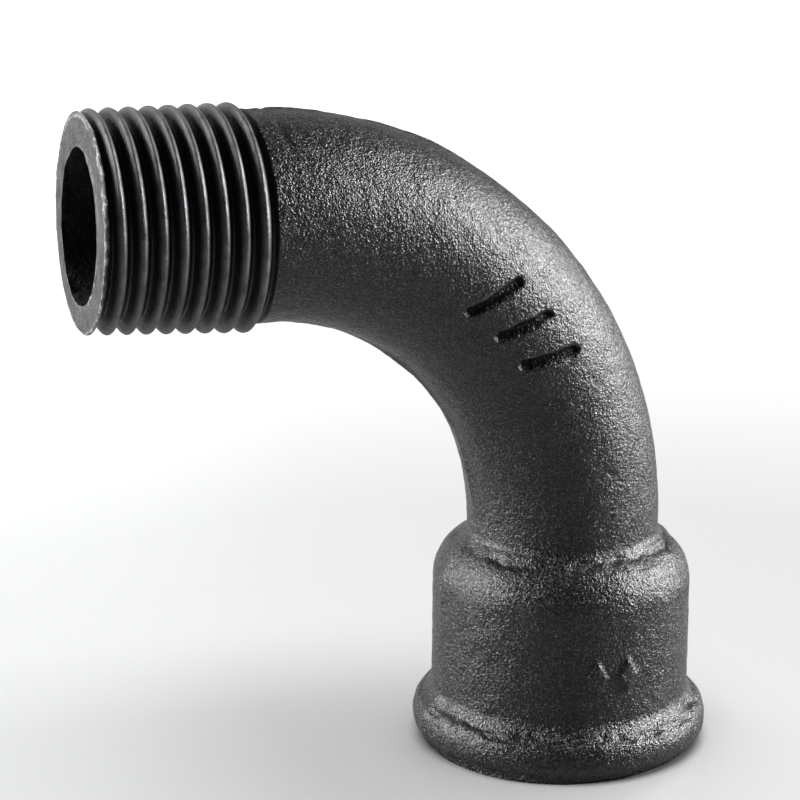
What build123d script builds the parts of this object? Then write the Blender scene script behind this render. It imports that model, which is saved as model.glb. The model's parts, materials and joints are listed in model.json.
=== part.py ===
from build123d import *
from math import atan, cos, degrees, radians, sin
import os

# Pipe elbow, size 1/2 inch: a 90 degree long sweep bend with an outside taper thread on one end and
# a banded socket with an inside parallel thread on the other. The real object is a single casting.
# Each zone of that casting is a closed solid of its own, and neighbours meet face to face.
# Frame: origin at the centre of the socket's end face, +Z up the socket's axis, spigot towards -X.

# Bend, mm
SOCKET_TO_AXIS = 55.0  # socket end face to the spigot's axis
SPIGOT_TO_AXIS = 48.0  # spigot end face to the socket's axis
BEND_RADIUS = 32.0  # centreline of the bend
TUBE_R = 9.7  # cast outside
BORE_R = 7.15  # waterway

# Pipe thread of size 1/2 (14 turns per inch, 55 degree flanks), mm
PITCH = 25.4 / 14
THREAD_DEPTH = 1.162
GAUGE_R = 10.4775  # major radius at the gauge plane
GAUGE_LENGTH = 8.2  # spigot end face to the gauge plane
TAPER = 1 / 32  # gain in radius along the outside thread
MINOR_R = GAUGE_R - THREAD_DEPTH  # crests of the inside thread
GROOVE_FLAT = 0.36  # width at the bottom of a thread groove
GROOVE_MOUTH = 1.757  # width of the groove cutter at its open side
CUTTER_OVERRUN = 0.2  # how far the cutter stands proud of the crests
SPIGOT_RUN_IN = 1.7  # cutter starts this far before the spigot's end face
SOCKET_RUN_IN = 1.0  # cutter starts this far before the socket's end face

# Spigot, mm
CREST_LENGTH = 14.6  # end face to the last full crest
THREAD_LENGTH = 15.5  # end face to the end of the cutter's path
END_R = 9.9  # outside radius of the end face
END_CHAMFER = 0.35
BORE_CHAMFER = 0.3

# Socket, mm
SOCKET_R = 12.85
SOCKET_SEAM = 16.5  # height where the socket passes into the shoulder
MOUTH_R = 10.95
MOUTH_CHAMFER = MOUTH_R - MINOR_R
RELIEF_BOTTOM = 12.2
RELIEF_TOP = 13.8
RELIEF_R = 10.6

# Shoulder, mm: a rounded edge, a straight slope and a hollow that runs into the tube
SHOULDER_ROUND = 5.0
SHOULDER_HOLLOW = 1.2
SHOULDER_TURN = 50.0  # degrees that the rounded edge and the hollow each turn
SHOULDER_TOP = SOCKET_TO_AXIS - BEND_RADIUS

# Rim bead, mm: radius and height of the points along its outside
BEAD_FOOT = (13.35, 0.0)
BEAD_LOWER = (14.4, 0.95)
BEAD_CREST = (14.85, 2.6)
BEAD_UPPER = (14.4, 4.0)
BEAD_EDGE = (13.55, 4.75)
BEAD_HOLLOW = (13.1, 5.15)
BEAD_TOP = (SOCKET_R, 5.8)

# Tally mark: three plain strokes cut into the near side of the bend, in a row along its centreline
STROKE_FIRST = 35.5  # degrees round the bend from its socket end
STROKE_SPREAD = 15.0  # degrees from the first stroke to the last
STROKE_TILT = -23.0  # degrees from the bend's radius
STROKE_LENGTH = 6.4
STROKE_WIDTH = 0.95
STROKE_DEPTH = 0.35

# Two plain lozenges that stand a little proud of the socket's near side, mm
LOZENGE_CENTRE = (-0.3, 10.3)
LOZENGE_PITCH = 3.2
LOZENGE_WIDTH = 2.3
LOZENGE_HEIGHT = 3.3
LOZENGE_RAISE = 0.25

SPIGOT_AXIS = Axis((0, 0, SOCKET_TO_AXIS), (1, 0, 0))
BEND_AXIS = Axis((-BEND_RADIUS, 0, SOCKET_TO_AXIS - BEND_RADIUS), (0, 1, 0))
TUBE_START = Plane(origin=(-BEND_RADIUS, 0, SOCKET_TO_AXIS), x_dir=(0, 1, 0), z_dir=(1, 0, 0))


def groove_plane(path, axis_point):
    """Plane across the start of a helix, with local X pointing away from the thread's axis."""
    start = path @ 0
    outward = start - axis_point
    return Plane(origin=start, x_dir=outward, z_dir=path % 0)


# Cutter for the tally strokes: three slots that follow the tube's skin at an even depth
with BuildPart() as tally_cutter:
    with BuildSketch(TUBE_START) as skin_section:
        Circle(TUBE_R + STROKE_DEPTH)
        Circle(TUBE_R - STROKE_DEPTH, mode=Mode.SUBTRACT)
    revolve(axis=BEND_AXIS, revolution_arc=90)
    with BuildSketch(Plane.XZ) as strokes:
        with Locations((-BEND_RADIUS, SOCKET_TO_AXIS - BEND_RADIUS)):
            with PolarLocations(BEND_RADIUS, 3, STROKE_FIRST, STROKE_SPREAD, endpoint=True):
                SlotOverall(STROKE_LENGTH, STROKE_WIDTH, rotation=STROKE_TILT)
    extrude(amount=2 * TUBE_R, mode=Mode.INTERSECT)

# Bend: a quarter turn of tube
with BuildPart() as bend:
    with BuildSketch(TUBE_START) as tube_section:
        Circle(TUBE_R)
        Circle(BORE_R, mode=Mode.SUBTRACT)
    revolve(axis=BEND_AXIS, revolution_arc=90)
    add(tally_cutter.part, mode=Mode.SUBTRACT)
bend.part.label = "bend"

# Spigot: a tapered, threaded end around the waterway
with BuildPart() as male_spigot:
    end_x = -SPIGOT_TO_AXIS
    thread_start_r = GAUGE_R - (GAUGE_LENGTH - END_CHAMFER) * TAPER
    thread_end_r = GAUGE_R + (CREST_LENGTH - GAUGE_LENGTH) * TAPER
    with BuildSketch(Plane.XZ) as spigot_profile:
        with BuildLine():
            Polyline(
                (end_x + BORE_CHAMFER, SOCKET_TO_AXIS + BORE_R),
                (end_x, SOCKET_TO_AXIS + BORE_R + BORE_CHAMFER),
                (end_x, SOCKET_TO_AXIS + END_R),
                (end_x + END_CHAMFER, SOCKET_TO_AXIS + thread_start_r),
                (end_x + CREST_LENGTH, SOCKET_TO_AXIS + thread_end_r),
                (-BEND_RADIUS, SOCKET_TO_AXIS + TUBE_R),
                (-BEND_RADIUS, SOCKET_TO_AXIS + BORE_R),
                close=True,
            )
        make_face()
    revolve(axis=SPIGOT_AXIS)
    root_start_r = GAUGE_R - THREAD_DEPTH - (GAUGE_LENGTH + SPIGOT_RUN_IN) * TAPER
    with BuildLine() as spigot_helix:
        Helix(
            PITCH,
            THREAD_LENGTH + SPIGOT_RUN_IN,
            root_start_r,
            center=(end_x - SPIGOT_RUN_IN, 0, SOCKET_TO_AXIS),
            direction=(1, 0, 0),
            cone_angle=degrees(atan(TAPER)),
        )
    spigot_path = spigot_helix.line
    spigot_start = Vector(end_x - SPIGOT_RUN_IN, 0, SOCKET_TO_AXIS)
    with BuildSketch(groove_plane(spigot_path, spigot_start)) as spigot_groove:
        with BuildLine():
            Polyline(
                (0, -GROOVE_FLAT / 2),
                (0, GROOVE_FLAT / 2),
                (THREAD_DEPTH + CUTTER_OVERRUN, GROOVE_MOUTH / 2),
                (THREAD_DEPTH + CUTTER_OVERRUN, -GROOVE_MOUTH / 2),
                close=True,
            )
        make_face()
    sweep(sections=spigot_groove.sketch, path=spigot_path, is_frenet=True, mode=Mode.SUBTRACT)
male_spigot.part.label = "male_spigot"

# Shoulder: the rounded step where the bend widens to the socket, over a conical passage
with BuildPart() as shoulder:
    turn = radians(SHOULDER_TURN)
    arcs = SHOULDER_ROUND + SHOULDER_HOLLOW
    slope = (SOCKET_R - TUBE_R - arcs * (1 - cos(turn))) / sin(turn)
    hollow_top = SOCKET_SEAM + arcs * sin(turn) + slope * cos(turn)
    with BuildSketch(Plane.XZ) as shoulder_profile:
        with BuildLine():
            edge = JernArc((SOCKET_R, SOCKET_SEAM), (0, 1), SHOULDER_ROUND, SHOULDER_TURN)
            hollow = JernArc((TUBE_R, hollow_top), (0, -1), SHOULDER_HOLLOW, SHOULDER_TURN)
            Line(edge @ 1, hollow @ 1)
            Polyline(
                (TUBE_R, hollow_top),
                (TUBE_R, SHOULDER_TOP),
                (BORE_R, SHOULDER_TOP),
                (MINOR_R, SOCKET_SEAM),
                (SOCKET_R, SOCKET_SEAM),
            )
        make_face()
    revolve(axis=Axis.Z)
shoulder.part.label = "shoulder"

# Lozenges: two plain raised pads that follow the socket's round wall
with BuildPart() as lozenges:
    with BuildSketch() as pad_section:
        Circle(SOCKET_R + LOZENGE_RAISE)
        Circle(SOCKET_R, mode=Mode.SUBTRACT)
    extrude(amount=SOCKET_SEAM)
    with BuildSketch(Plane.XZ) as lozenge_outlines:
        with Locations(LOZENGE_CENTRE):
            with GridLocations(LOZENGE_PITCH, 1, 2, 1):
                Polygon(
                    (-LOZENGE_WIDTH / 2, 0),
                    (0, -LOZENGE_HEIGHT / 2),
                    (LOZENGE_WIDTH / 2, 0),
                    (0, LOZENGE_HEIGHT / 2),
                )
    extrude(amount=2 * SOCKET_R, mode=Mode.INTERSECT)

# Socket: a plain round wall, chamfered at the mouth and threaded inside, with a rounded relief
# behind the thread and a short plain land beyond it
with BuildPart() as socket:
    with BuildSketch(Plane.XZ) as socket_profile:
        with BuildLine():
            ThreePointArc(
                (MINOR_R, RELIEF_TOP),
                (RELIEF_R, (RELIEF_TOP + RELIEF_BOTTOM) / 2),
                (MINOR_R, RELIEF_BOTTOM),
            )
            Polyline(
                (MINOR_R, RELIEF_BOTTOM),
                (MINOR_R, MOUTH_CHAMFER),
                (MOUTH_R, 0),
                (SOCKET_R, 0),
                (SOCKET_R, SOCKET_SEAM),
                (MINOR_R, SOCKET_SEAM),
                (MINOR_R, RELIEF_TOP),
            )
        make_face()
    revolve(axis=Axis.Z)
    groove_end = (RELIEF_TOP + RELIEF_BOTTOM) / 2
    with BuildLine() as socket_helix:
        Helix(PITCH, groove_end + SOCKET_RUN_IN, MINOR_R, center=(0, 0, -SOCKET_RUN_IN))
    socket_path = socket_helix.line
    with BuildSketch(groove_plane(socket_path, Vector(0, 0, -SOCKET_RUN_IN))) as socket_groove:
        with BuildLine():
            Polyline(
                (THREAD_DEPTH, -GROOVE_FLAT / 2),
                (THREAD_DEPTH, GROOVE_FLAT / 2),
                (-CUTTER_OVERRUN, GROOVE_MOUTH / 2),
                (-CUTTER_OVERRUN, -GROOVE_MOUTH / 2),
                close=True,
            )
        make_face()
    sweep(sections=socket_groove.sketch, path=socket_path, is_frenet=True, mode=Mode.SUBTRACT)
    add(lozenges.part)
socket.part.label = "socket"

# Rim bead: the cast band around the socket's mouth, which the elbow stands on
with BuildPart() as rim_bead:
    with BuildSketch(Plane.XZ) as bead_profile:
        with BuildLine():
            Line((SOCKET_R, 0), BEAD_FOOT)
            ThreePointArc(BEAD_FOOT, BEAD_LOWER, BEAD_CREST)
            ThreePointArc(BEAD_CREST, BEAD_UPPER, BEAD_EDGE)
            ThreePointArc(BEAD_EDGE, BEAD_HOLLOW, BEAD_TOP)
            Line(BEAD_TOP, (SOCKET_R, 0))
        make_face()
    revolve(axis=Axis.Z)
rim_bead.part.label = "rim_bead"

os.makedirs("parts", exist_ok=True)
export_step(bend.part, "parts/bend.step")
export_step(male_spigot.part, "parts/male_spigot.step")
export_step(shoulder.part, "parts/shoulder.step")
export_step(socket.part, "parts/socket.step")
export_step(rim_bead.part, "parts/rim_bead.step")
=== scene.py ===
import json
import math

import bpy
import numpy as np
from mathutils import Matrix, Vector


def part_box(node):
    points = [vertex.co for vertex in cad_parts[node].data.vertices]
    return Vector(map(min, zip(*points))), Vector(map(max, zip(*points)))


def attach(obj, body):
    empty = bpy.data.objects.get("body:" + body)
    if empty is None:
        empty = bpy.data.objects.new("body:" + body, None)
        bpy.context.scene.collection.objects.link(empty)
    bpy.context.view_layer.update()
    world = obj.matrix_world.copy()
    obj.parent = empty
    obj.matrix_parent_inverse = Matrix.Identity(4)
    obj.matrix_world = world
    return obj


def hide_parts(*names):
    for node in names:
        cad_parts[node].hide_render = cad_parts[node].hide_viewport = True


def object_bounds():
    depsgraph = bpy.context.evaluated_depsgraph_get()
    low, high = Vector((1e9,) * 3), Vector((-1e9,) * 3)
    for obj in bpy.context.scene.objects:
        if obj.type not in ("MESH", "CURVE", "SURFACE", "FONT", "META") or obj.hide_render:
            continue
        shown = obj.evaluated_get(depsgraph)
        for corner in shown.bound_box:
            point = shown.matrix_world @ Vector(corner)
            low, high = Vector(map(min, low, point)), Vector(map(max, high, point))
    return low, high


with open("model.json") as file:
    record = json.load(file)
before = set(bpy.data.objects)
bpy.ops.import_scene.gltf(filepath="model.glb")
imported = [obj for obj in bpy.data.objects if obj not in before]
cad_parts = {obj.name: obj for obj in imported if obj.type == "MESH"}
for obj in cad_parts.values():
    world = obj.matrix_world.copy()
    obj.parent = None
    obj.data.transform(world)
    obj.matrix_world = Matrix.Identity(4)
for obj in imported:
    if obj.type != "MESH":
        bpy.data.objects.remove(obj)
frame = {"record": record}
cad_low, cad_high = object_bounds()

# Pipe elbow, size 1/2 inch: the visual model of one blackened iron casting. Its outside is one
# continuous skin, a grid of rings that runs from the spigot's end face, round the bend and down to
# the socket's foot. It is worked out once and then cut into one closed piece for each CAD node.
# Lengths are in metres. THETA goes round each ring: 0 on the outside of the bend, and -90 degrees on
# the near side, which looks along -Y.

MM = 0.001

# ------------------------------------------------------------------ sizes from the frame
mounts = {mount["name"]: mount for mount in frame["record"]["mounts"]}
END_X = mounts["male_face"]["pos_m"][0]
AXIS_Z = mounts["male_face"]["pos_m"][2]
BORE_R = mounts["waterway"]["dims"]["r_mm"] * MM
MINOR_R = mounts["socket_thread"]["dims"]["r_mm"] * MM
bend_low, bend_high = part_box("bend")
BEND_R = -bend_low[0]
TUBE_R = bend_high[0]
TUBE_FOOT = AXIS_Z - BEND_R
socket_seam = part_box("shoulder")[0][2]
SOCKET_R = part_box("shoulder")[1][0]
BEAD_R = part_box("rim_bead")[1][0]
BEAD_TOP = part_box("rim_bead")[1][2]

# ------------------------------------------------------------------ the two threads
PITCH = 25.4 / 14 * MM
THREAD_DEPTH = 1.162 * MM
GAUGE_R = MINOR_R + THREAD_DEPTH
GAUGE_LENGTH = 8.2 * MM
TAPER = 1 / 32
FIRST_CREST = 1.12 * MM  # from the end face, at the top of the spigot
CREST_WEAR = 0.14 * MM
ROOT_SHAPE = 1.12  # above 1, the rounded roots are a little narrower than the crests
RUN_OUT = (15.6 * MM, 17.4 * MM)  # where the thread's roots start and finish rising out of the metal
RUN_OUT_RISE = 1.6 * MM
END_R = 9.9 * MM  # outer edge of the spigot's end face
END_CHAMFER = 1.1  # rise of the chamfer behind that edge
END_FILL = 1.0  # fall of the metal that fills the thread's root beside that edge
RUBBED_EDGE = 0.4 * MM

# Inside the socket: the chamfered mouth, and the rounded relief behind the thread.
MOUTH_R = 10.95 * MM
RELIEF_MIDDLE = 13.0 * MM
RELIEF_ROUND = 0.89 * MM
RELIEF_R = 10.6 * MM

# ------------------------------------------------------------------ grids
COLUMNS = 360
THETA = np.arange(COLUMNS) * 2 * math.pi / COLUMNS
SPIGOT_ROWS = 222
BEND_ROWS = 222
SHOULDER_ROWS = 50
WALL_ROWS = 56
BEAD_ROWS = 58
END_FACE_ROWS = 30
SPIGOT_BORE_RINGS = 24
BEND_BORE_ROWS = 24
CONE_RINGS = 21
SOCKET_INSIDE_ROWS = 150
MOUTH_FACE_ROWS = 12
BEAD_FOOT_ROWS = 2
HIDDEN_WALL_RINGS = 3
ARC_STEPS = 40

# The noise lattice is turned, so that its planes don't line up with the elbow's own directions.
LATTICE_TURN = np.array([[0.36, 0.48, -0.8], [-0.8, 0.6, 0.0], [0.48, 0.64, 0.6]])
LATTICE_SHIFT = 1000  # keeps every lattice number above zero


def lattice(ix, iy, iz, seed):
    """Repeatable random values from -1 to 1 for whole-number lattice points, by mixing their bits."""
    mask = np.uint64(0xFFFFFFFF)
    mixed = (
        ix.astype(np.uint64) * np.uint64(73856093)
        ^ iy.astype(np.uint64) * np.uint64(19349663)
        ^ iz.astype(np.uint64) * np.uint64(83492791)
        ^ np.uint64(seed * 2654435761)
    ) & mask
    for shift, factor in ((15, 2246822519), (13, 3266489917)):
        mixed = ((mixed ^ (mixed >> np.uint64(shift))) * np.uint64(factor)) & mask
    mixed ^= mixed >> np.uint64(16)
    return mixed.astype(float) / 0x7FFFFFFF - 1


def noise(points, size, seed):
    """Smooth 3-D value noise from -1 to 1, with bumps about size across."""
    cell = points @ LATTICE_TURN / size + LATTICE_SHIFT
    low = np.floor(cell)
    blend = cell - low
    blend = blend * blend * (3 - 2 * blend)
    low = low.astype(np.int64)
    total = np.zeros(points.shape[:-1])
    for corner in range(8):
        step = [corner & 1, corner >> 1 & 1, corner >> 2]
        share = np.prod([blend[..., k] if step[k] else 1 - blend[..., k] for k in range(3)], axis=0)
        total += share * lattice(low[..., 0] + step[0], low[..., 1] + step[1], low[..., 2] + step[2], seed)
    return total


def layered(points, *layers):
    """Layers of noise added up. Each layer is (height, size of its bumps in mm, seed)."""
    return sum(height * noise(points, size * MM, seed) for height, size, seed in layers)


def smooth_step(low, high, value):
    """0 below low, 1 above high, with a smooth rise between."""
    t = np.clip((value - low) / (high - low), 0, 1)
    return t * t * (3 - 2 * t)


def resample(points, count):
    """count + 1 points spaced evenly along an open run of 2-D points."""
    points = np.array(points)
    along = np.concatenate([[0], np.cumsum(np.linalg.norm(np.diff(points, axis=0), axis=1))])
    wanted = np.linspace(0, along[-1], count + 1)
    return np.stack([np.interp(wanted, along, points[:, k]) for k in range(2)], axis=1)


def arc(centre, radius, start, end):
    """Points on a circular arc, from one angle to another, in degrees."""
    angles = np.radians(np.linspace(start, end, ARC_STEPS + 1))
    return [(centre[0] + radius * math.cos(a), centre[1] + radius * math.sin(a)) for a in angles]


def arc_through(first, middle, last):
    """Points on the circular arc through three points."""
    (ax, ay), (bx, by), (cx, cy) = first, middle, last
    d = 2 * (ax * (by - cy) + bx * (cy - ay) + cx * (ay - by))
    a2, b2, c2 = ax * ax + ay * ay, bx * bx + by * by, cx * cx + cy * cy
    ux = (a2 * (by - cy) + b2 * (cy - ay) + c2 * (ay - by)) / d
    uy = (a2 * (cx - bx) + b2 * (ax - cx) + c2 * (bx - ax)) / d
    start, halfway, end = (math.degrees(math.atan2(y - uy, x - ux)) for x, y in (first, middle, last))
    sweep = (end - start) % 360
    if (halfway - start) % 360 > sweep:
        sweep -= 360
    return arc((ux, uy), math.hypot(ax - ux, ay - uy), start, start + sweep)


def rings(centres, outs, radii):
    """Grid of points: one ring for each centre, radius and outward direction in the XZ plane."""
    radii = np.asarray(radii)
    if radii.ndim == 1:
        radii = radii[:, None]
    radii = np.broadcast_to(radii, (len(centres), COLUMNS))
    reach = np.cos(THETA)[None, :, None] * outs[:, None, :] + np.sin(THETA)[None, :, None] * [0, 1, 0]
    return centres[:, None, :] + radii[:, :, None] * reach


def grid_normals(grid):
    """Unit normals of a grid of rings, pointing along x around."""
    along = np.gradient(grid, axis=0)
    around = np.roll(grid, -1, axis=1) - np.roll(grid, 1, axis=1)
    crossed = np.cross(along, around)
    return crossed / np.linalg.norm(crossed, axis=2, keepdims=True)


def upright(profile):
    """Centres, outward directions and radii of rings round the socket's axis, from (radius, z)."""
    centres = np.zeros((len(profile), 3))
    centres[:, 2] = profile[:, 1]
    return centres, np.tile([1.0, 0, 0], (len(profile), 1)), profile[:, 0]


def level(profile):
    """Centres, outward directions and radii of rings round the spigot's axis, from (radius, x)."""
    centres = np.zeros((len(profile), 3))
    centres[:, 0] = profile[:, 1]
    centres[:, 2] = AXIS_Z
    return centres, np.tile([0, 0, 1.0], (len(profile), 1)), profile[:, 0]


def turning(rows):
    """Centres and outward directions of rings round the bend, from the spigot to the socket."""
    angle = np.linspace(0, math.pi / 2, rows + 1)
    outs = np.stack([np.sin(angle), 0 * angle, np.cos(angle)], axis=1)
    return np.array([-BEND_R, 0, TUBE_FOOT]) + BEND_R * outs, outs


# ------------------------------------------------------------------ plain shape of the cast skin
# The tube is a little fuller at the spigot's end than at the socket's.
TUBE_START_R = TUBE_R + 0.12 * MM
TUBE_END_R = TUBE_R - 0.16 * MM

# Shoulder: a rounded edge, a straight slope and a hollow that runs into the tube.
SHOULDER_ROUND = 5.0 * MM
SHOULDER_HOLLOW = 1.0 * MM
SHOULDER_TURN = 50.0

# Rim bead, as (radius, z): a hollow above it, its crest, and a lower edge that turns in to the foot.
BEAD_FOOT = (13.35 * MM, 0)
BEAD_LOWER = (14.4 * MM, 0.75 * MM)
BEAD_CREST = (BEAD_R, 2.15 * MM)
BEAD_UPPER = (14.55 * MM, 3.6 * MM)
BEAD_EDGE = (14.0 * MM, 4.35 * MM)
BEAD_HOLLOW = (13.3 * MM, 4.85 * MM)

# The mould was less filled out on the near left, where the bead keeps a squarer, ragged lower edge.
SQUARE_SIDE = -135.0  # degrees round the ring
SQUARE_SPREAD = 55.0
SQUARE_R = 14.45 * MM

# The bend's inner side is a little flat where it turns down.
FLAT_DEPTH = 0.17 * MM
FLAT_TURN = 42.0  # degrees round the bend from its spigot end
FLAT_LENGTH = 20.0
FLAT_SPREAD = 60.0  # degrees round the ring

WALL_R = SOCKET_R + 0.09 * MM  # the cast wall stands a little fuller than its nominal radius


def shoulder_profile():
    """(radius, z) from the tube down to the socket's wall."""
    turn = math.radians(SHOULDER_TURN)
    both = SHOULDER_ROUND + SHOULDER_HOLLOW
    slope = (WALL_R - TUBE_END_R - both * (1 - math.cos(turn))) / math.sin(turn)
    hollow_top = socket_seam + both * math.sin(turn) + slope * math.cos(turn)
    hollow = arc((TUBE_END_R + SHOULDER_HOLLOW, hollow_top), SHOULDER_HOLLOW, 180, 180 + SHOULDER_TURN)
    edge = arc((WALL_R - SHOULDER_ROUND, socket_seam), SHOULDER_ROUND, SHOULDER_TURN, 0)
    return resample([(TUBE_END_R, TUBE_FOOT)] + hollow + edge, SHOULDER_ROWS)


def bead_profile():
    """(radius, z) from the socket's wall down round the bead to its foot."""
    hollow = arc_through((WALL_R, BEAD_TOP), BEAD_HOLLOW, BEAD_EDGE)
    upper = arc_through(BEAD_EDGE, BEAD_UPPER, BEAD_CREST)
    lower = arc_through(BEAD_CREST, BEAD_LOWER, BEAD_FOOT)
    return resample(hollow + upper[1:] + lower[1:], BEAD_ROWS)


spigot_x = np.linspace(END_X, -BEND_R, SPIGOT_ROWS + 1)
spigot_stations = level(np.stack([np.full(SPIGOT_ROWS + 1, TUBE_START_R), spigot_x], axis=1))
bend_centres, bend_outs = turning(BEND_ROWS)
bend_radii = np.linspace(TUBE_START_R, TUBE_END_R, BEND_ROWS + 1)
shoulder_stations = upright(shoulder_profile())
wall_z = np.linspace(socket_seam, BEAD_TOP, WALL_ROWS + 1)
wall_stations = upright(np.stack([np.full(WALL_ROWS + 1, WALL_R), wall_z], axis=1))
bead_stations = upright(bead_profile())
stations = [spigot_stations, (bend_centres, bend_outs, bend_radii), shoulder_stations]
stations += [wall_stations, bead_stations]

# Each zone's first ring is the last ring of the zone before, so it is left out once.
centres, outs, radii = (np.concatenate([stations[0][k]] + [zone[k][1:] for zone in stations[1:]])
                        for k in range(3))
row_ends = np.cumsum([SPIGOT_ROWS, BEND_ROWS, SHOULDER_ROWS, WALL_ROWS, BEAD_ROWS])
travelled = np.concatenate([[0], np.cumsum(np.linalg.norm(np.diff(centres, axis=0), axis=1))])

# The squarer lower edge: below the bead's crest, its radius moves out towards SQUARE_R.
aside = (np.degrees(THETA) - SQUARE_SIDE + 180) % 360 - 180
squareness = np.exp(-((aside / SQUARE_SPREAD) ** 2))[None, :]
under_bead = np.clip((BEAD_CREST[1] - centres[:, 2:]) / BEAD_CREST[1], 0, 1) ** 0.5
radii = radii[:, None]
radii = np.maximum(radii, radii + (SQUARE_R - radii) * squareness * under_bead)

row_angle = np.degrees(np.arctan2(outs[:, 0], outs[:, 2]))
flat_along = np.exp(-(((row_angle - FLAT_TURN) / FLAT_LENGTH) ** 2))[:, None]
flat_around = np.exp(-(((np.degrees(THETA) % 360 - 180) / FLAT_SPREAD) ** 2))[None, :]
radii = radii - FLAT_DEPTH * flat_around * flat_along

base = rings(centres, outs, radii)
base_normals = grid_normals(base)

# ------------------------------------------------------------------ marks on the skin
# Three plain strokes cut into the near side of the bend, in a row along its centreline.
STROKE_ANGLES = (35.5, 43.0, 50.5)  # degrees round the bend from its socket end
STROKE_TILT = -23.0  # degrees from the bend's radius
STROKE_LENGTH = 6.4 * MM
STROKE_WIDTH = 1.05 * MM
STROKE_DEPTH = 0.44 * MM
STROKE_EDGE = (0.56, 0.2)  # of the width: how far out the wall starts, and where the floor is reached
PAINTED_SHADE_DEPTH = 0.45  # share of the depth below which a stroke's floor is painted in shade: darker, with less reflection

# Two plain lozenges that stand a little proud of the socket's near side.
LOZENGE_X = (-1.9 * MM, 1.3 * MM)
LOZENGE_Z = 10.3 * MM
LOZENGE_SIZE = (2.3 * MM, 3.3 * MM)
LOZENGE_RAISE = 0.28 * MM
LOZENGE_EDGE = (1.2, 0.75)  # of the half size: where a lozenge starts to rise, and where it is full

# Ragged creases run round the foot of the bend and the root of the bead, where the sand crumbled.
CREASES = ((20.85 * MM, 0.34 * MM, 0.34), (4.25 * MM, 0.30 * MM, 0.24))  # z, half width, depth in mm
CREASED_SIDE = math.radians(-130)

# The mould's parting line runs along both sides of the bend, at theta 0 and 180 degrees.
PARTING_HEIGHT = 0.24  # mm
PARTING_HALF_WIDTH = 0.5 * MM

# One faint scratch from the threading tool, just behind the spigot on its upper near side.
SCRATCH_START = 16.78 * MM
SCRATCH_LEAD = 0.62 * MM  # for each radian round the ring
SCRATCH_HALF_WIDTH = 0.21 * MM
SCRATCH_DEPTH = 0.13  # mm
SCRATCH_ENDS = (-0.9, -0.75, 0.1, 0.3)  # radians: where it starts, is full, starts to fade and is gone


def stroke_depth(points):
    """How deep the strokes are cut at each point, 0 to 1."""
    ragged = 0.13 * MM * noise(points, 0.9 * MM, 31)
    near = points[..., 1] < 0
    deepest = np.zeros(points.shape[:-1])
    for turn in STROKE_ANGLES:
        at = math.radians(turn)
        middle = (-BEND_R + BEND_R * math.cos(at), TUBE_FOOT + BEND_R * math.sin(at))
        lean = math.radians(turn + STROKE_TILT)
        dx, dz = points[..., 0] - middle[0], points[..., 2] - middle[1]
        along = dx * math.cos(lean) + dz * math.sin(lean)
        across = dz * math.cos(lean) - dx * math.sin(lean)
        beyond = np.maximum(np.abs(along) - (STROKE_LENGTH - STROKE_WIDTH) / 2, 0)
        distance = np.hypot(beyond, across) + ragged
        rim, floor_edge = (-share * STROKE_WIDTH for share in STROKE_EDGE)
        deepest = np.maximum(deepest, smooth_step(rim, floor_edge, -distance))
    return np.where(near, deepest, 0)


def lozenge_height(points):
    """How far the lozenges stand up at each point, 0 to 1."""
    ragged = 0.16 * noise(points, 1.0 * MM, 37)
    highest = np.zeros(points.shape[:-1])
    for x in LOZENGE_X:
        dx = np.abs(points[..., 0] - x) / (LOZENGE_SIZE[0] / 2)
        dz = np.abs(points[..., 2] - LOZENGE_Z) / (LOZENGE_SIZE[1] / 2)
        edge, top = (-share for share in LOZENGE_EDGE)
        highest = np.maximum(highest, smooth_step(edge, top, -(dx + dz) + ragged))
    return np.where(points[..., 1] < 0, highest, 0)


def cast_height(points, theta, travel):
    """Height of the cast skin over its plain shape, worked out in mm and given in metres."""
    waves_to_grain = ((0.060, 8.0, 1), (0.035, 3.2, 2), (0.034, 1.5, 3), (0.026, 0.75, 4), (0.018, 0.45, 5))
    near_line = np.exp(-((np.sin(theta) * TUBE_R / PARTING_HALF_WIDTH) ** 2))
    broken_line = np.clip(0.5 + layered(points, (0.9, 3.5, 6)), 0, 1.2)
    height = layered(points, *waves_to_grain) + PARTING_HEIGHT * broken_line * near_line
    for level_z, half_width, depth in CREASES:
        wander = layered(points, (0.35, 2.6, 7), (0.22, 0.9, 8)) * MM
        below = (points[..., 2] - level_z + wander) / half_width
        share = 0.45 + 0.4 * np.cos(theta - CREASED_SIDE) + layered(points, (0.8, 3.0, 9))
        crumbs = layered(points, (0.05, 0.9, 10)) * np.exp(-((below / 3) ** 2))
        height = height - depth * np.clip(share, 0, 1) * np.exp(-(below ** 2)) + crumbs
    turn = (theta + math.pi) % (2 * math.pi) - math.pi
    travel = np.where(points[..., 2] > TUBE_FOOT, travel, 0)  # the socket's side has no scratch
    from_scratch = (travel - SCRATCH_START + SCRATCH_LEAD * turn) / SCRATCH_HALF_WIDTH
    scratched = smooth_step(*SCRATCH_ENDS[:2], turn) * (1 - smooth_step(*SCRATCH_ENDS[2:], turn))
    return (height - SCRATCH_DEPTH * scratched * np.exp(-(from_scratch ** 2))) * MM


theta_grid = np.broadcast_to(THETA, base.shape[:2])
cast = cast_height(base, theta_grid, travelled[:, None])
strokes = stroke_depth(base)
bend_zone = (np.arange(len(centres)) <= row_ends[1])[:, None]
strokes = np.where(bend_zone, strokes, 0)
cast -= STROKE_DEPTH * strokes
cast += LOZENGE_RAISE * np.where(bend_zone, 0, lozenge_height(base))
skin = base + base_normals * cast[:, :, None]
skin[:, :, 2] = np.maximum(skin[:, :, 2], 0)  # nothing goes below the floor

# ------------------------------------------------------------------ outside thread
BLANK_STEP = (14.3 * MM, 15.3 * MM)  # where the spigot's thicker blank drops to the cast tube
BLANK_EXTRA = 1.2 * MM


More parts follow.
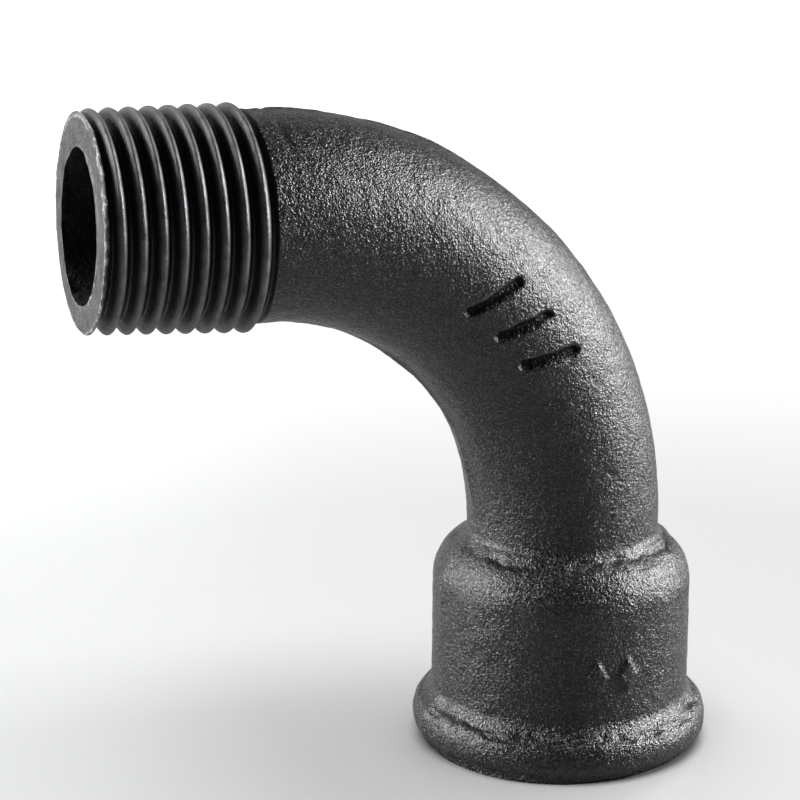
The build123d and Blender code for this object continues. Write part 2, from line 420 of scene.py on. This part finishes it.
def thread_wave(turns):
    """Rounded thread form, 1 on a crest and 0 in a root, for a place given in turns of the helix."""
    return 1 - (0.5 - 0.5 * np.cos(2 * math.pi * turns)) ** ROOT_SHAPE


along = travelled[:, None]
turns = (along - FIRST_CREST) / PITCH + theta_grid / (2 * math.pi)
crest_r = GAUGE_R + (along - GAUGE_LENGTH) * TAPER - CREST_WEAR
crest_share = thread_wave(turns)
root_rise = RUN_OUT_RISE * smooth_step(*RUN_OUT, along)
worn = layered(base, (0.012, 0.8, 11), (0.02, 2.5, 12)) * MM
threaded = crest_r - THREAD_DEPTH * (1 - crest_share) + root_rise + worn * crest_share
rim = END_R + layered(base, (0.06, 0.7, 13), (0.04, 0.35, 14)) * MM
threaded = np.minimum(np.maximum(threaded, rim - END_FILL * along), rim + END_CHAMFER * along)

reach = skin - centres[:, None, :]
cast_r = np.linalg.norm(reach, axis=2) + BLANK_EXTRA * (1 - smooth_step(*BLANK_STEP, along))
spigot_zone = along < RUN_OUT[1]
machined = spigot_zone & (threaded < cast_r)
threaded_points = rings(centres, outs, np.where(machined, threaded, cast_r))
skin = np.where(spigot_zone[:, :, None], threaded_points, skin)

# The thread was cut a little out of line with the casting: the spigot is turned by SKEW about a
# point on its axis, and the turn dies out where the bend starts.
SKEW = 0.029  # radians
SKEW_PIVOT = 10.7 * MM  # from the end face
SKEW_FADE = (14 * MM, 19 * MM)


def skewed(points):
    """The points after that turn. Those at the socket's level stay where they are."""
    along = points[..., 0] - END_X
    share = SKEW * (1 - smooth_step(*SKEW_FADE, along)) * (points[..., 2] > AXIS_Z - BEND_R / 2)
    moved = points.copy()
    moved[..., 0] += share * (points[..., 2] - AXIS_Z)
    moved[..., 2] -= share * (along - SKEW_PIVOT)
    return moved


skin = skewed(skin)
skin_normals = grid_normals(skin)


# ------------------------------------------------------------------ pieces
def closed_piece(name, node, sections, materials):
    """A closed mesh from runs of rings laid end to end round the wall's section.

    Each section is (grid, normals, material index), and its first ring is the last ring of the
    section before. A material index is one number, or one for each face."""
    points = np.concatenate([grid[:-1] for grid, _, _ in sections])
    count = len(points)
    row, column = np.meshgrid(np.arange(count), np.arange(COLUMNS), indexing="ij")
    next_row, next_column = (row + 1) % count, (column + 1) % COLUMNS
    corners = np.stack([row * COLUMNS + column, next_row * COLUMNS + column,
                        next_row * COLUMNS + next_column, row * COLUMNS + next_column], axis=2)
    corner_normals, face_materials = [], []
    for grid, normals, index in sections:
        normals = grid_normals(grid) if normals is None else normals
        here, after = normals[:-1], normals[1:]
        corner_normals.append(np.stack([here, after, np.roll(after, -1, 1), np.roll(here, -1, 1)], axis=2))
        face_materials.append(np.broadcast_to(index, (len(grid) - 1, COLUMNS)))
    mesh = bpy.data.meshes.new(name)
    mesh.vertices.add(count * COLUMNS)
    mesh.vertices.foreach_set("co", points.ravel())
    mesh.loops.add(count * COLUMNS * 4)
    mesh.loops.foreach_set("vertex_index", corners.ravel())
    mesh.polygons.add(count * COLUMNS)
    mesh.polygons.foreach_set("loop_start", np.arange(count * COLUMNS) * 4)
    for material in materials:
        mesh.materials.append(material)
    mesh.polygons.foreach_set("material_index", np.concatenate(face_materials).ravel().astype(np.int32))
    mesh.polygons.foreach_set("use_smooth", np.ones(count * COLUMNS, bool))
    mesh.update(calc_edges=True)
    mesh.normals_split_custom_set(np.concatenate(corner_normals).reshape(-1, 3))
    piece = bpy.data.objects.new(name, mesh)
    bpy.context.scene.collection.objects.link(piece)
    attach(piece, "root")
    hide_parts(node)
    return piece


def vertex_values(piece, name, values):
    """Stores one number for each vertex. Values cover the piece's first rings; the rest get 0."""
    full = np.zeros(len(piece.data.vertices))
    full[: values.size] = values.ravel()
    piece.data.attributes.new(name, "FLOAT", "POINT").data.foreach_set("value", full)


def across(first_ring, last_ring, steps=1):
    """A flat run of rings from one ring to another."""
    share = np.linspace(0, 1, steps + 1)[:, None, None]
    return first_ring[None] * (1 - share) + last_ring[None] * share


def backwards(grid):
    """The same rings, last one first."""
    return grid[::-1]


# ------------------------------------------------------------------ materials
def shader(name, metallic=0.0):
    """A new material's tree, its Principled shader and its object coordinates."""
    material = bpy.data.materials.new(name)
    material.use_nodes = True
    tree = material.node_tree
    bsdf = tree.nodes["Principled BSDF"]
    bsdf.inputs["Metallic"].default_value = metallic
    bsdf.inputs["IOR"].default_value = 1.5
    place = tree.nodes.new("ShaderNodeTexCoord").outputs["Object"]
    return material, tree, bsdf, place


def link(tree, source, target):
    """Joins a socket to an input, or sets the input when source is a plain value."""
    if isinstance(source, bpy.types.NodeSocket):
        tree.links.new(source, target)
    else:
        target.default_value = source


def noise_node(tree, place, size, detail=3.0, rough=0.55, stretch=None):
    """A noise texture's factor, with bumps about size across."""
    if stretch:
        mapping = tree.nodes.new("ShaderNodeMapping")
        mapping.inputs["Scale"].default_value = stretch
        tree.links.new(place, mapping.inputs["Vector"])
        place = mapping.outputs["Vector"]
    texture = tree.nodes.new("ShaderNodeTexNoise")
    texture.inputs["Scale"].default_value = 1 / size
    texture.inputs["Detail"].default_value = detail
    texture.inputs["Roughness"].default_value = rough
    tree.links.new(place, texture.inputs["Vector"])
    return texture.outputs["Fac"]


def ranged(tree, source, from_low, from_high, to_low, to_high):
    """A value moved from one range to another, clamped."""
    node = tree.nodes.new("ShaderNodeMapRange")
    link(tree, source, node.inputs["Value"])
    names = ("From Min", "From Max", "To Min", "To Max")
    for name, value in zip(names, (from_low, from_high, to_low, to_high)):
        node.inputs[name].default_value = value
    return node.outputs["Result"]


def mixed(tree, factor, first, second):
    """A colour between two colours. The Mix node has same-named sockets, so these go by number."""
    node = tree.nodes.new("ShaderNodeMix")
    node.data_type = "RGBA"
    link(tree, factor, node.inputs["Factor"])
    link(tree, first, node.inputs[6])
    link(tree, second, node.inputs[7])
    return node.outputs[2]


def sums(tree, operation, first, second):
    """One sum of two values, such as MULTIPLY."""
    node = tree.nodes.new("ShaderNodeMath")
    node.operation = operation
    link(tree, first, node.inputs[0])
    link(tree, second, node.inputs[1])
    return node.outputs[0]


def attribute(tree, name):
    """The numbers that vertex_values stored under this name."""
    node = tree.nodes.new("ShaderNodeAttribute")
    node.attribute_name = name
    return node.outputs["Fac"]


def bumped(tree, bsdf, layers):
    """Bump layers, each (height, distance), one on top of another."""
    normal = None
    for height, distance in layers:
        bump = tree.nodes.new("ShaderNodeBump")
        bump.inputs["Distance"].default_value = distance
        tree.links.new(height, bump.inputs["Height"])
        if normal:
            tree.links.new(normal, bump.inputs["Normal"])
        normal = bump.outputs["Normal"]
    tree.links.new(normal, bsdf.inputs["Normal"])


def grey(value, blue=1.0):
    """A grey, with its blue part scaled."""
    return (value, value, value * blue, 1.0)


def cast_iron(name, specular=0.5, shade=1.0):
    """Blackened cast skin: dark, sandy, with small glints where the grain catches the light."""
    material, tree, bsdf, place = shader(name)
    bsdf.inputs["Specular IOR Level"].default_value = specular
    grain = noise_node(tree, place, 0.34 * MM, 2.0, 0.6)
    fine = noise_node(tree, place, 0.16 * MM, 1.0, 0.5)
    patches = noise_node(tree, place, 5 * MM, 3.0, 0.5)
    # A shade below 1 scales all three colours down, which paints shade: the stroke floors use 0.3.
    soot, speck, smear = grey(0.006 * shade, 1.2), grey(0.11 * shade, 1.1), grey(0.012 * shade, 1.2)
    speckled = mixed(tree, ranged(tree, fine, 0.54, 0.68, 0, 1), soot, speck)
    shaded = mixed(tree, ranged(tree, patches, 0.35, 0.65, 0, 0.4), speckled, smear)
    link(tree, shaded, bsdf.inputs["Base Color"])
    link(tree, ranged(tree, grain, 0.3, 0.7, 0.36, 0.22), bsdf.inputs["Roughness"])
    bumped(tree, bsdf, [(grain, 0.135 * MM), (fine, 0.095 * MM)])
    return material


def cut_thread():
    """Thread cut into the blackened iron: dark and smooth, rubbed to bare metal along its crests."""
    material, tree, bsdf, place = shader("cut_thread")
    worn = attribute(tree, "wear")
    patches = noise_node(tree, place, 1.6 * MM, 4.0, 0.6)
    tool = noise_node(tree, place, 1 * MM, 3.0, 0.5, stretch=(14, 0.5, 0.5))
    pits = noise_node(tree, place, 0.35 * MM, 3.0, 0.6)
    rubbed = sums(tree, "MULTIPLY", worn, ranged(tree, patches, 0.35, 0.6, 0.35, 1))
    link(tree, mixed(tree, rubbed, grey(0.005, 1.3), grey(0.16, 1.12)), bsdf.inputs["Base Color"])
    link(tree, ranged(tree, rubbed, 0, 1, 0, 0.7), bsdf.inputs["Metallic"])
    link(tree, ranged(tree, patches, 0.3, 0.7, 0.36, 0.52), bsdf.inputs["Roughness"])
    bumped(tree, bsdf, [(pits, 0.06 * MM), (tool, 0.05 * MM)])
    return material


def faced_end():
    """Faced-off end of the casting: dull grey metal, bright along its burr."""
    material, tree, bsdf, place = shader("faced_end", metallic=0.35)
    patches = noise_node(tree, place, 1.4 * MM, 4.0, 0.65)
    pits = noise_node(tree, place, 0.3 * MM, 3.0, 0.6)
    burr = attribute(tree, "burr")
    plain = mixed(tree, ranged(tree, patches, 0.35, 0.65, 0, 1), grey(0.02, 1.1), grey(0.07, 1.08))
    bright = sums(tree, "MULTIPLY", burr, ranged(tree, pits, 0.4, 0.65, 0.1, 1))
    link(tree, mixed(tree, bright, plain, grey(0.6, 1.0)), bsdf.inputs["Base Color"])
    link(tree, ranged(tree, pits, 0.3, 0.7, 0.38, 0.55), bsdf.inputs["Roughness"])
    bumped(tree, bsdf, [(patches, 0.12 * MM), (pits, 0.12 * MM)])
    return material


def cored_bore():
    """Sandy cored waterway: almost black, with a few dull glints."""
    material, tree, bsdf, place = shader("cored_bore")
    bsdf.inputs["Specular IOR Level"].default_value = 0.25
    grain = noise_node(tree, place, 0.5 * MM, 4.0, 0.6)
    glints = ranged(tree, grain, 0.5, 0.75, 0, 1)
    link(tree, mixed(tree, glints, grey(0.006), grey(0.03)), bsdf.inputs["Base Color"])
    link(tree, ranged(tree, grain, 0.3, 0.7, 0.8, 0.5), bsdf.inputs["Roughness"])
    bumped(tree, bsdf, [(grain, 0.25 * MM)])
    return material


CAST, THREAD, FACED, BORE, STROKE_PAINTED_SHADE = range(5)  # the finishes, in this order
# The last finish is a copy of the skin for the deep floors of the strokes, painted in shade: its colours
# are scaled to 0.3 and its reflection is cut to 0.12.
finishes = [cast_iron("blackened_cast_skin"), cut_thread(), faced_end(), cored_bore(),
            cast_iron("stroke_floor_painted_shade", specular=0.12, shade=0.3)]


# ------------------------------------------------------------------ inside surfaces
def bore_rings(stations_centres, stations_outs, radius):
    """The cored waterway: rings with the uneven wall that a sand core leaves."""
    plain = rings(stations_centres, stations_outs, radius)
    uneven = layered(plain, (0.10, 3.0, 21), (0.05, 1.2, 22), (0.025, 0.6, 23)) * MM
    away = plain - stations_centres[:, None, :]
    return plain + away / np.linalg.norm(away, axis=2, keepdims=True) * uneven[:, :, None]


# The core had sunk a little out of centre, and its print left a ragged mouth.
CORE_SUNK = np.array([0, 0.45, -0.5]) * MM
MOUTH_RAGGED_LENGTH = 1.2 * MM
TOWARDS_MOUTH = 1.5  # above 1, the spigot's bore has its rings closer together near the mouth

bore_share = np.linspace(0, 1, SPIGOT_BORE_RINGS) ** TOWARDS_MOUTH
bore_x = END_X + (-BEND_R - END_X) * bore_share
spigot_bore = bore_rings(*level(np.stack([np.full(SPIGOT_BORE_RINGS, BORE_R), bore_x], axis=1)))
spigot_bore = spigot_bore + (1 - smooth_step(0, 1, bore_share))[:, None, None] * CORE_SUNK
mouth_ragged = layered(spigot_bore, (0.14, 2.2, 24), (0.12, 0.8, 25)) * MM
mouth_depth = np.exp(-(((spigot_bore[:, :, :1] - END_X) / MOUTH_RAGGED_LENGTH) ** 2))
bore_out = spigot_bore - [0, 0, AXIS_Z]
bore_out[:, :, 0] = 0
bore_out /= np.linalg.norm(bore_out, axis=2, keepdims=True)
spigot_bore = skewed(spigot_bore + bore_out * mouth_ragged[:, :, None] * mouth_depth)
inner_centres, inner_outs = turning(BEND_BORE_ROWS)
bend_bore = skewed(bore_rings(inner_centres, inner_outs, BORE_R))
cone = np.linspace((BORE_R, TUBE_FOOT), (MINOR_R, socket_seam), CONE_RINGS)
cone_inside = bore_rings(*upright(cone))

inside_z = np.linspace(0, socket_seam, SOCKET_INSIDE_ROWS + 1)[:, None]
inside_turns = inside_z / PITCH - THETA[None, :] / (2 * math.pi)
inside_r = MINOR_R + THREAD_DEPTH * (1 - thread_wave(inside_turns)) * (inside_z < RELIEF_MIDDLE)
bulge = RELIEF_ROUND ** 2 - (inside_z - RELIEF_MIDDLE) ** 2
relief_r = np.where(bulge > 0, RELIEF_R - RELIEF_ROUND + np.sqrt(np.maximum(bulge, 0)), 0)
inside_r = np.maximum(np.maximum(inside_r, relief_r), MOUTH_R - inside_z)
inside_profile = np.concatenate([np.zeros_like(inside_z), inside_z], axis=1)
inside_centres, inside_outs, _ = upright(inside_profile)
socket_inside = rings(inside_centres, inside_outs, inside_r)
cone_inside[-1] = socket_inside[-1]

# ------------------------------------------------------------------ the pieces
# What each piece takes from the skin. Neighbours share the ring on their seam.
spigot_out, bend_out, shoulder_out, wall_out, bead_out = (
    slice(first, last + 1) for first, last in zip([0, *row_ends[:-1]], row_ends))

# Spigot, with its faced end: fine turning marks and a burr thrown up round the outer edge.
TURNING_FEED = 0.16 * MM
TURNING_DEPTH = 0.012 * MM
BURR_HEIGHT = 0.15 * MM
BURR_R = END_R - 0.14 * MM
BURR_HALF_WIDTH = 0.2 * MM
MOUTH_ROUNDING = 0.12 * MM
MOUTH_ROUNDING_WIDTH = 0.25 * MM

face = across(spigot_bore[0], skin[0], END_FACE_ROWS)
face_r = np.linalg.norm(face - [END_X, 0, AXIS_Z], axis=2)
marks = TURNING_DEPTH * np.sin(face_r / TURNING_FEED * 2 * math.pi + layered(face, (2, 4, 41)))
hollows = layered(face, (0.03, 1.5, 42)) * MM
burr = np.exp(-(((face_r - BURR_R) / BURR_HALF_WIDTH) ** 2)) * (0.6 + layered(face, (0.9, 0.7, 43)))
rounded = MOUTH_ROUNDING * np.exp(-(((face_r - BORE_R) / MOUTH_ROUNDING_WIDTH) ** 2))
face_share = np.linspace(0, 1, END_FACE_ROWS + 1)[:, None]  # 0 at the bore and 1 at the outer edge
held = np.minimum(1, 8 * np.minimum(face_share, 1 - face_share))  # both edges stay where they are
face[:, :, 0] -= (marks + hollows + BURR_HEIGHT * burr - rounded) * held
skin_material = np.where(machined[spigot_out][:-1], THREAD, CAST)
skin_material[travelled[spigot_out][:-1] < RUBBED_EDGE] = FACED
spigot = closed_piece(
    "threaded_spigot", "male_spigot",
    [(skin[spigot_out], skin_normals[spigot_out], skin_material),
     (across(skin[row_ends[0]], spigot_bore[-1]), None, CAST),
     (backwards(spigot_bore), None, BORE),
     (face, None, FACED)],
    finishes,
)
# The upper part of each crest is rubbed, most of all at its top.
vertex_values(spigot, "wear", np.clip(crest_share[spigot_out] * 2.2 - 1.2, 0, 1)[:-1])

# Bright metal shows on the burr, on the edge beside it, and where the core's mouth broke away below.
lower_side = np.clip(0.2 - (face[:, :, 2] - AXIS_Z) / BORE_R, 0, 1)
broken = np.exp(-((face_share / 0.07) ** 2)) * lower_side * (0.5 + layered(face, (1, 0.6, 44)))
edge = skin[spigot_out][:-1]
bright = np.zeros((len(spigot.data.vertices) // COLUMNS, COLUMNS))
bright[: len(edge)] = 0.5 + layered(edge, (0.9, 0.6, 45))
bright[-END_FACE_ROWS:] = (0.7 * burr + broken)[:-1]
vertex_values(spigot, "burr", np.clip(bright, 0, 1))

# Faces deep in the strokes take the copy of the skin that is painted in shade.
bend_material = np.where(strokes[bend_out][:-1] > PAINTED_SHADE_DEPTH, STROKE_PAINTED_SHADE, CAST)
bend_material[machined[bend_out][:-1]] = THREAD
bend = closed_piece(
    "long_sweep_bend", "bend",
    [(skin[bend_out], skin_normals[bend_out], bend_material),
     (across(skin[row_ends[1]], bend_bore[-1]), None, CAST),
     (backwards(bend_bore), None, BORE),
     (across(bend_bore[0], skin[row_ends[0]]), None, CAST)],
    finishes,
)
shoulder = closed_piece(
    "cast_shoulder", "shoulder",
    [(skin[shoulder_out], skin_normals[shoulder_out], CAST),
     (across(skin[row_ends[2]], cone_inside[-1]), None, CAST),
     (backwards(cone_inside), None, BORE),
     (across(cone_inside[0], skin[row_ends[1]]), None, CAST)],
    finishes,
)

# Socket: its wall goes on behind the bead, down to the faced mouth.
hidden_wall = rings(*upright(np.linspace((SOCKET_R, BEAD_TOP), (SOCKET_R, 0), HIDDEN_WALL_RINGS)))
hidden_wall[0] = skin[row_ends[3]]
socket = closed_piece(
    "threaded_socket", "socket",
    [(skin[wall_out], skin_normals[wall_out], CAST),
     (hidden_wall, None, CAST),
     (across(hidden_wall[-1], socket_inside[0], MOUTH_FACE_ROWS), None, FACED),
     (socket_inside, None, THREAD),
     (across(socket_inside[-1], skin[row_ends[2]]), None, CAST)],
    finishes,
)
bead = closed_piece(
    "rim_bead_band", "rim_bead",
    [(skin[bead_out], skin_normals[bead_out], CAST),
     (across(skin[row_ends[4]], hidden_wall[-1], BEAD_FOOT_ROWS), None, FACED),
     (backwards(hidden_wall), None, CAST)],
    finishes,
)


# ------------------------------------------------------------------ floor, lights and camera
MIDDLE = (Vector(cad_low) + Vector(cad_high)) / 2
FLOOR_FRONT = -0.6
FLOOR_HALF_WIDTH = 1.2
SWEEP_START = 0.35
SWEEP_R = 0.25
BACKDROP_TOP = 1.2

# The camera sees a paler floor, backdrop and room than the elbow does, so that the elbow stays dark.
FLOOR_SEEN = 0.22  # base colour
FLOOR_REFLECTED = 0.13
FLOOR_SHOWN = 0.08  # glow
BACKDROP_SHOWN = 0.75
BACKDROP_GLOW = 0.1
ROOM_GLOW = 0.05
GLOW_RANGE = (0.06, 0.25)  # distances from the origin over which the backdrop's own glow sets in
SHOWN_RANGE = (0.08, 0.35)  # and the glow that only the camera sees

WARM_WHITE = (1, 0.99, 0.965)
NEUTRAL_WHITE = (0.99, 1, 1)


def floor_sheet():
    """A pale floor that sweeps up into a backdrop far behind the elbow."""
    profile = [(FLOOR_FRONT, 0.0), (SWEEP_START, 0.0)]
    profile += [(SWEEP_START + SWEEP_R * math.sin(turn), SWEEP_R - SWEEP_R * math.cos(turn))
                for turn in np.linspace(0.1, math.pi / 2, 16)]
    profile += [(SWEEP_START + SWEEP_R, BACKDROP_TOP)]
    mesh = bpy.data.meshes.new("studio_floor")
    vertices = [(x, y, z) for y, z in profile for x in (-FLOOR_HALF_WIDTH, FLOOR_HALF_WIDTH)]
    faces = [(2 * k, 2 * k + 1, 2 * k + 3, 2 * k + 2) for k in range(len(profile) - 1)]
    mesh.from_pydata(vertices, [], faces)
    mesh.polygons.foreach_set("use_smooth", [True] * len(faces))
    floor = bpy.data.objects.new("studio_floor", mesh)
    bpy.context.scene.collection.objects.link(floor)
    material, tree, bsdf, place = shader("pale_floor")
    bsdf.inputs["Roughness"].default_value = 0.22
    bsdf.inputs["Emission Color"].default_value = grey(1)
    away = tree.nodes.new("ShaderNodeVectorMath")
    away.operation = "LENGTH"
    tree.links.new(place, away.inputs[0])
    away = away.outputs["Value"]
    seen = tree.nodes.new("ShaderNodeLightPath").outputs["Is Camera Ray"]
    glow = ranged(tree, away, *GLOW_RANGE, 0, BACKDROP_GLOW)
    shown = ranged(tree, away, *SHOWN_RANGE, FLOOR_SHOWN, BACKDROP_SHOWN)
    link(tree, mixed(tree, seen, grey(FLOOR_REFLECTED), grey(FLOOR_SEEN)), bsdf.inputs["Base Color"])
    extra = sums(tree, "MULTIPLY", seen, shown)
    tree.links.new(sums(tree, "ADD", glow, extra), bsdf.inputs["Emission Strength"])
    mesh.materials.append(material)
    return floor


def direction(azimuth, elevation):
    """The way out from the elbow at these angles, in degrees. Azimuth 0 is in front, 90 on the right."""
    a, e = math.radians(azimuth), math.radians(elevation)
    return Vector((math.sin(a) * math.cos(e), -math.cos(a) * math.cos(e), math.sin(e)))


def soft_light(name, azimuth, elevation, distance, width, height, power, colour, lit):
    """A softbox that looks at the middle of the elbow and lights one collection alone.

    Lengths are in metres and the power is in watts."""
    data = bpy.data.lights.new(name, "AREA")
    data.shape = "RECTANGLE"
    data.size, data.size_y = width, height
    data.energy = power
    data.color = colour
    light = bpy.data.objects.new(name, data)
    away = direction(azimuth, elevation)
    light.location = MIDDLE + away * distance
    light.rotation_mode = "QUATERNION"
    light.rotation_quaternion = away.to_track_quat("Z", "Y")
    bpy.context.scene.collection.objects.link(light)
    light.light_linking.receiver_collection = lit


floor = floor_sheet()

# Two softboxes stand at the elbow's sides and light it alone. A wide one overhead lights the floor
# alone, and gives the elbow's soft shadow.
elbow_only = bpy.data.collections.new("elbow_only")
for piece in (spigot, bend, shoulder, socket, bead):
    elbow_only.objects.link(piece)
floor_only = bpy.data.collections.new("floor_only")
floor_only.objects.link(floor)
SOFTBOXES = (  # name, azimuth, elevation, distance, width, height, power, colour, what it lights
    ("right_softbox", 80, 20, 0.5, 0.24, 0.30, 8.2, WARM_WHITE, elbow_only),
    ("left_softbox", -112, 18, 0.5, 0.24, 0.30, 5.8, WARM_WHITE, elbow_only),
    ("overhead_softbox", 0, 90, 0.7, 0.7, 0.7, 26, NEUTRAL_WHITE, floor_only),
)
for softbox in SOFTBOXES:
    soft_light(*softbox)

world = bpy.data.worlds.new("studio_air")
world.use_nodes = True
world_tree = world.node_tree
seen = world_tree.nodes.new("ShaderNodeLightPath").outputs["Is Camera Ray"]
world_tree.nodes["Background"].inputs["Color"].default_value = grey(1)
room_glow = ranged(world_tree, seen, 0, 1, ROOM_GLOW, 1)
link(world_tree, room_glow, world_tree.nodes["Background"].inputs["Strength"])
bpy.context.scene.world = world
bpy.context.scene.view_settings.view_transform = "Standard"

CAMERA_AZIMUTH = -20.83
CAMERA_ELEVATION = 14.42
CAMERA_ROLL = 0.13
CAMERA_DISTANCE = 210.9 * MM
CAMERA_AIM = Vector((-0.83, 0, 3.44)) * MM  # from the middle of the elbow's box
CAMERA_LENS = 98.8

camera_data = bpy.data.cameras.new("camera")
camera_data.sensor_width = 36
camera_data.lens = CAMERA_LENS
camera_data.clip_start = 0.01
camera_data.clip_end = 10
camera = bpy.data.objects.new("camera", camera_data)
bpy.context.scene.collection.objects.link(camera)
back = direction(CAMERA_AZIMUTH, CAMERA_ELEVATION)
azimuth = math.radians(CAMERA_AZIMUTH)
right = Vector((math.cos(azimuth), math.sin(azimuth), 0))
turned = Matrix((right, back.cross(right), back)).transposed().to_4x4()
roll = Matrix.Rotation(math.radians(CAMERA_ROLL), 4, "Z")
camera.matrix_world = Matrix.Translation(MIDDLE + CAMERA_AIM + back * CAMERA_DISTANCE) @ turned @ roll
bpy.context.scene.camera = camera
